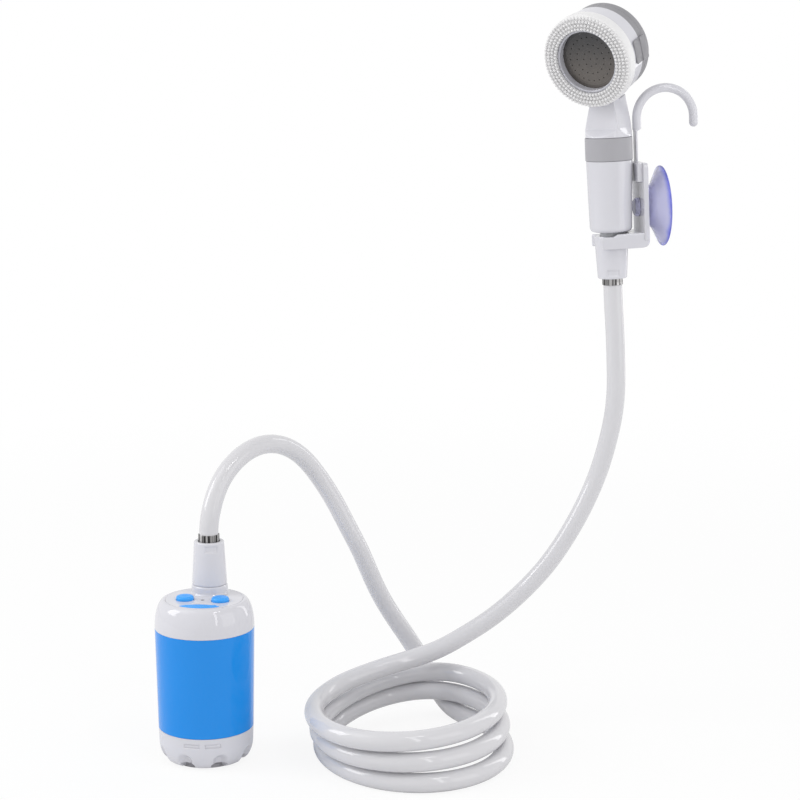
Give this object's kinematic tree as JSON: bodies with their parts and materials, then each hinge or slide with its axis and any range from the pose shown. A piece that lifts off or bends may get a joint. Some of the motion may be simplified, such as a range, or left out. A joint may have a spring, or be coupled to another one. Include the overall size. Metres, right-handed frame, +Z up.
{
  "type": "camp shower pump",
  "caption": "Portable camp shower: round rechargeable submersible pump with push buttons, a coiled hose, and a brush-ring shower handset in a hook and suction-cup holder.",
  "frame": {"origin": "centre of the pump's underside, on the ground the pump and the coil rest on", "axes": "+Z up along the pump's axis; +X from the pump towards the handset; -Y towards the viewer of the picture"},
  "size_m": [0.3994, 0.2139, 0.5431],
  "materials": {
    "white_gloss": "glossy moulded white ABS with a faint cool cast",
    "blue_gloss": "glossy translucent-look blue sleeve",
    "blue_silicone": "satin silicone rubber",
    "grey_plastic": "satin grey moulding",
    "inner_plastic": "plain moulding",
    "black_plastic": "plain black moulding",
    "steel": "drawn and turned steel",
    "copper": "enamelled copper windings",
    "magnet": "ferrite arc magnets",
    "rubber_seal": "soft moulded rubber",
    "cell_wrap": "shrink sleeve over the cells",
    "board_green": "circuit board laminate",
    "lead_red": "wire insulation",
    "smoked_lens": "smoked indicator lens",
    "dark_chrome": "knurled plated metal",
    "hose_pvc": "smooth white hose",
    "filter_media": "filter felt",
    "white_silicone": "soft warm white silicone",
    "clear_bezel": "clear moulded ring",
    "spray_face": "dark polished perforated plate",
    "cup_vinyl": "translucent lavender-blue vinyl"
  },
  "bodies": {
    "pump": {"base_plate": "grey_plastic", "base_shell": "white_gloss", "base_screws": "steel", "bulkhead": "inner_plastic", "volute_housing": "inner_plastic", "motor_can": "steel", "motor_magnets": "magnet", "motor_end_cap": "black_plastic", "shaft_seal": "rubber_seal", "battery_tray": "black_plastic", "battery_cells": "cell_wrap", "battery_clip": "black_plastic", "motor_leads": "lead_red", "outlet_pipe": "inner_plastic", "sleeve": "blue_gloss", "lower_seal": "rubber_seal", "upper_seal": "rubber_seal", "top_shell": "white_gloss", "control_panel": "white_gloss", "control_board": "board_green", "button_switches": "black_plastic", "light_guide": "smoked_lens", "charge_socket": "steel", "outlet_spigot": "white_gloss", "pump_washer": "rubber_seal", "pump_tail": "dark_chrome", "pump_ferrule": "dark_chrome", "hose_arch": "hose_pvc", "hose_coil": "hose_pvc", "hose_rise": "hose_pvc", "handset_ferrule": "dark_chrome", "handset_tail": "dark_chrome", "handset_washer": "rubber_seal"},
    "power_button": {"power_button": "blue_silicone"},
    "mode_button": {"mode_button": "blue_silicone"},
    "port_cover": {"port_cover": "blue_silicone"},
    "rotor": {"motor_shaft": "steel", "impeller": "black_plastic", "armature": "copper"},
    "pump_nut": {"pump_nut": "white_gloss"},
    "handset_nut": {"handset_nut": "white_gloss"},
    "handset": {"handset_stub": "black_plastic", "handle_shell": "white_gloss", "filter_cartridge": "filter_media", "handle_band": "grey_plastic", "neck_shell": "white_gloss", "head_housing": "white_gloss", "back_cap": "grey_plastic", "plate_gasket": "rubber_seal", "spray_plate": "spray_face", "face_bezel": "clear_bezel", "brush_ring": "white_silicone"},
    "selector": {"selector_ring": "grey_plastic", "diverter_disc": "black_plastic"},
    "holder": {"holder_bracket": "white_gloss"},
    "hook": {"hook": "white_gloss"},
    "suction_cup": {"suction_cup": "cup_vinyl"}
  },
  "joints": [
    {"name": "power_press", "type": "slide", "parent": "pump", "child": "power_button", "axis": [0, 0, -1], "range_m": [0, 0.0012], "stiffness_N_per_m": 1500},
    {"name": "mode_press", "type": "slide", "parent": "pump", "child": "mode_button", "axis": [0, 0, -1], "range_m": [0, 0.0012], "stiffness_N_per_m": 1500},
    {"name": "port_cover_lift", "type": "hinge", "parent": "pump", "child": "port_cover", "pos_m": [-0.00119, -0.01696, 0.1203], "axis": [-0.9976, 0.0698, 0], "range_deg": [0, 100], "stiffness_Nm_per_rad": 0.002},
    {"name": "rotor_spin", "type": "hinge", "parent": "pump", "child": "rotor", "pos_m": [0, 0, 0.03], "axis": [0, 0, 1], "continuous": true},
    {"name": "pump_nut_turn", "type": "hinge", "parent": "pump", "child": "pump_nut", "pos_m": [0.00251, 0.01782, 0.14], "axis": [0, 0, 1], "continuous": true},
    {"name": "handset_nut_turn", "type": "hinge", "parent": "pump", "child": "handset_nut", "pos_m": [0.3002, 0.1, 0.35698], "axis": [-0.0471, 0, 0.9989], "continuous": true},
    {"name": "handset_swivel", "type": "hinge", "parent": "pump", "child": "handset", "pos_m": [0.29949, 0.1, 0.37196], "axis": [-0.0471, 0, 0.9989], "range_deg": [-60, 20]},
    {"name": "selector_turn", "type": "hinge", "parent": "handset", "child": "selector", "pos_m": [0.29294, 0.1, 0.51081], "axis": [-0.5204, -0.7928, -0.3172], "range_deg": [-20, 20]},
    {"name": "holder_lower", "type": "slide", "parent": "pump", "child": "holder", "axis": [0.0471, 0, -0.9989], "range_m": [0, 0.025]},
    {"name": "hook_slide", "type": "slide", "parent": "holder", "child": "hook", "axis": [-0.0471, 0, 0.9989], "range_m": [-0.006, 0.01]},
    {"name": "cup_swivel", "type": "hinge", "parent": "holder", "child": "suction_cup", "pos_m": [0.32167, 0.10326, 0.39353], "axis": [0.9892, 0.1392, 0.0466], "continuous": true}
  ]
}
